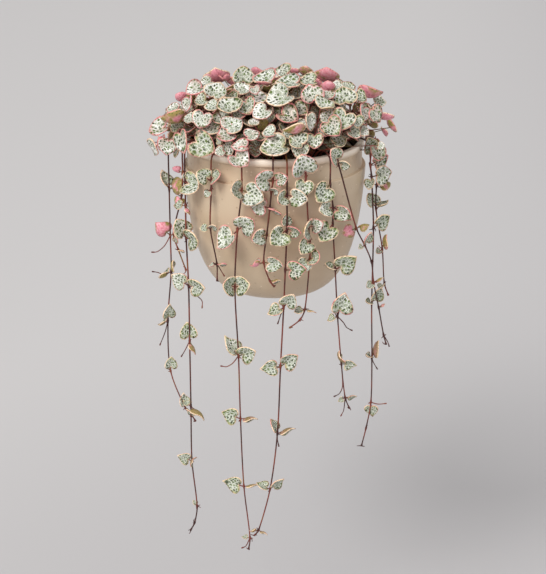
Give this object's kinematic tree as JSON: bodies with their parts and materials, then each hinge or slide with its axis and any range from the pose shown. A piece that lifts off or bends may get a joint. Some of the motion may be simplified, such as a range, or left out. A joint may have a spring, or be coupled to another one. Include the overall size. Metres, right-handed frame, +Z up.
{
  "type": "potted trailing plant",
  "caption": "Variegated string of hearts in a round plastic hanging pot: heart-shaped leaves on thin stems, mounded over the soil and trailing past the pot on all sides.",
  "frame": {"origin": "centre of the pot's mouth, level with the top of its lip", "axes": "+Z up along the pot's axis, -Y towards the viewer, who sees the fuller side of the mound, +X to the viewer's right"},
  "size_m": [0.1654, 0.1497, 0.328],
  "materials": {
    "pot_plastic": "matte, faintly speckled",
    "potting_mix": "rough, dark peat and bark",
    "hearts_foliage": "satin leaves, cream and grey-green with pink edges"
  },
  "bodies": {
    "root": {"pot": "pot_plastic", "soil": "potting_mix", "hanging_stem_a": "hearts_foliage", "hanging_stem_b": "hearts_foliage", "hanging_stem_c": "hearts_foliage", "hanging_stem_d": "hearts_foliage", "hanging_stem_e": "hearts_foliage", "hanging_stem_f": "hearts_foliage", "hanging_stem_g": "hearts_foliage", "hanging_stem_h": "hearts_foliage", "hanging_stem_i": "hearts_foliage", "hanging_stem_j": "hearts_foliage", "hanging_stem_k": "hearts_foliage", "hanging_stem_l": "hearts_foliage", "hanging_stem_m": "hearts_foliage", "hanging_stem_n": "hearts_foliage", "hanging_stem_o": "hearts_foliage", "hanging_stem_p": "hearts_foliage", "hanging_stem_q": "hearts_foliage", "hanging_stem_r": "hearts_foliage", "hanging_stem_s": "hearts_foliage", "tuft_01": "hearts_foliage", "tuft_02": "hearts_foliage", "tuft_03": "hearts_foliage", "tuft_04": "hearts_foliage", "tuft_05": "hearts_foliage", "tuft_06": "hearts_foliage", "tuft_07": "hearts_foliage", "tuft_08": "hearts_foliage", "tuft_09": "hearts_foliage", "tuft_10": "hearts_foliage", "tuft_11": "hearts_foliage", "tuft_12": "hearts_foliage", "tuft_13": "hearts_foliage", "tuft_14": "hearts_foliage", "tuft_15": "hearts_foliage", "tuft_16": "hearts_foliage", "tuft_17": "hearts_foliage", "tuft_18": "hearts_foliage"}
  },
  "joints": []
}
